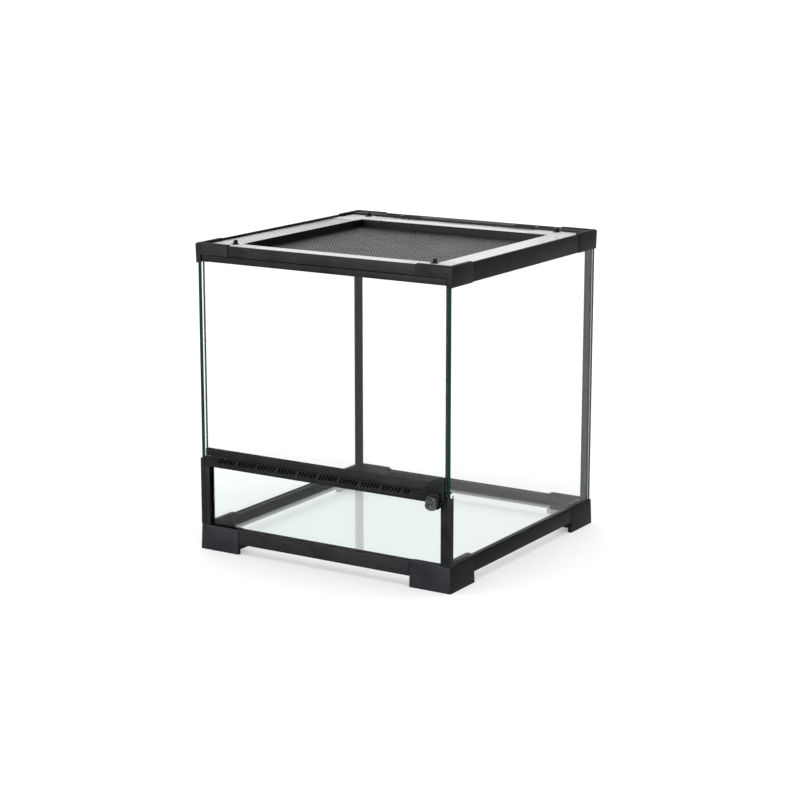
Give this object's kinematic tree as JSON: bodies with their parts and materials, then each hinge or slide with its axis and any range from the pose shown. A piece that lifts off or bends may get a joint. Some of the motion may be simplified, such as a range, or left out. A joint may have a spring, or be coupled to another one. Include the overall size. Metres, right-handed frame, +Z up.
{
  "type": "glass pet cage",
  "caption": "Cube-shaped glass pet cage with a black frame and corner feet, a hinged front door over a slotted vent, and a lift-off mesh lid with turn catches.",
  "frame": {"origin": "centre of the bottom face of the whole object's box, on the surface it stands on; the box includes the latch knob that stands 7 mm in front of the feet", "axes": "+X to the right seen from the front, +Y from the front door to the back, +Z up"},
  "size_m": [0.3, 0.307, 0.322],
  "materials": {
    "black_plastic": "satin moulded, fine texture",
    "glass": "clear float glass, polished green edges",
    "lid_strip": "satin extruded",
    "lid_corner": "satin moulded",
    "pin_steel": "turned",
    "screen": "perforated, dark satin"
  },
  "bodies": {
    "tank": {"foot_front_left": "black_plastic", "foot_front_right": "black_plastic", "foot_back_left": "black_plastic", "foot_back_right": "black_plastic", "bottom_rail_front": "black_plastic", "bottom_rail_back": "black_plastic", "bottom_rail_left": "black_plastic", "bottom_rail_right": "black_plastic", "floor_pane": "glass", "side_pane_left": "glass", "side_pane_right": "glass", "back_pane": "glass", "front_lower_pane": "glass", "post_front_left": "black_plastic", "post_front_right": "black_plastic", "post_back_left": "black_plastic", "post_back_right": "black_plastic", "top_rail_front": "black_plastic", "top_rail_back": "black_plastic", "top_rail_left": "black_plastic", "top_rail_right": "black_plastic", "top_corner_front_left": "black_plastic", "top_corner_front_right": "black_plastic", "top_corner_back_left": "black_plastic", "top_corner_back_right": "black_plastic", "vent_strip": "black_plastic", "latch_housing": "black_plastic"},
    "door": {"door_pane": "glass", "door_top_trim": "black_plastic", "door_bottom_trim": "black_plastic", "door_catch": "black_plastic", "hinge_pin_top": "pin_steel", "hinge_pin_bottom": "pin_steel"},
    "latch": {"latch_knob": "black_plastic", "latch_pin": "pin_steel"},
    "lid": {"screen_frame_front": "black_plastic", "screen_frame_back": "black_plastic", "screen_frame_left": "black_plastic", "screen_frame_right": "black_plastic", "screen_mesh": "screen", "lid_strip_front": "lid_strip", "lid_strip_back": "lid_strip", "lid_strip_left": "lid_strip", "lid_strip_right": "lid_strip", "lid_corner_front_left": "lid_corner", "lid_corner_front_right": "lid_corner", "lid_corner_back_left": "lid_corner", "lid_corner_back_right": "lid_corner"},
    "catch_front_left": {"lid_catch_front_left": "black_plastic", "lid_tongue_front_left": "black_plastic"},
    "catch_front_right": {"lid_catch_front_right": "black_plastic", "lid_tongue_front_right": "black_plastic"},
    "catch_back_left": {"lid_catch_back_left": "black_plastic", "lid_tongue_back_left": "black_plastic"},
    "catch_back_right": {"lid_catch_back_right": "black_plastic", "lid_tongue_back_right": "black_plastic"},
    "inlet_left": {"inlet_slider_left": "black_plastic"},
    "inlet_right": {"inlet_slider_right": "black_plastic"}
  },
  "joints": [
    {"name": "door_hinge", "type": "hinge", "parent": "tank", "child": "door", "pos_m": [-0.1395, -0.1424, 0.2039], "axis": [0, 0, -1], "range_deg": [0, 105]},
    {"name": "latch_turn", "type": "hinge", "parent": "tank", "child": "latch", "pos_m": [0.1315, -0.1493, 0.0922], "axis": [0, -1, 0], "range_deg": [0, 180]},
    {"name": "lid_lift", "type": "slide", "parent": "tank", "child": "lid", "axis": [0, 0, 1], "range_m": [0, 0.06]},
    {"name": "catch_turn_front_left", "type": "hinge", "parent": "lid", "child": "catch_front_left", "pos_m": [-0.117, -0.1235, 0.3125], "axis": [0, 0, -1], "range_deg": [0, 90]},
    {"name": "catch_turn_front_right", "type": "hinge", "parent": "lid", "child": "catch_front_right", "pos_m": [0.117, -0.1235, 0.3125], "axis": [0, 0, 1], "range_deg": [0, 90]},
    {"name": "catch_turn_back_left", "type": "hinge", "parent": "lid", "child": "catch_back_left", "pos_m": [-0.117, 0.125, 0.3125], "axis": [0, 0, 1], "range_deg": [0, 90]},
    {"name": "catch_turn_back_right", "type": "hinge", "parent": "lid", "child": "catch_back_right", "pos_m": [0.117, 0.125, 0.3125], "axis": [0, 0, -1], "range_deg": [0, 90]},
    {"name": "inlet_slide_left", "type": "slide", "parent": "tank", "child": "inlet_left", "axis": [1, 0, 0], "range_m": [0, 0.023]},
    {"name": "inlet_slide_right", "type": "slide", "parent": "tank", "child": "inlet_right", "axis": [-1, 0, 0], "range_m": [0, 0.023]}
  ]
}
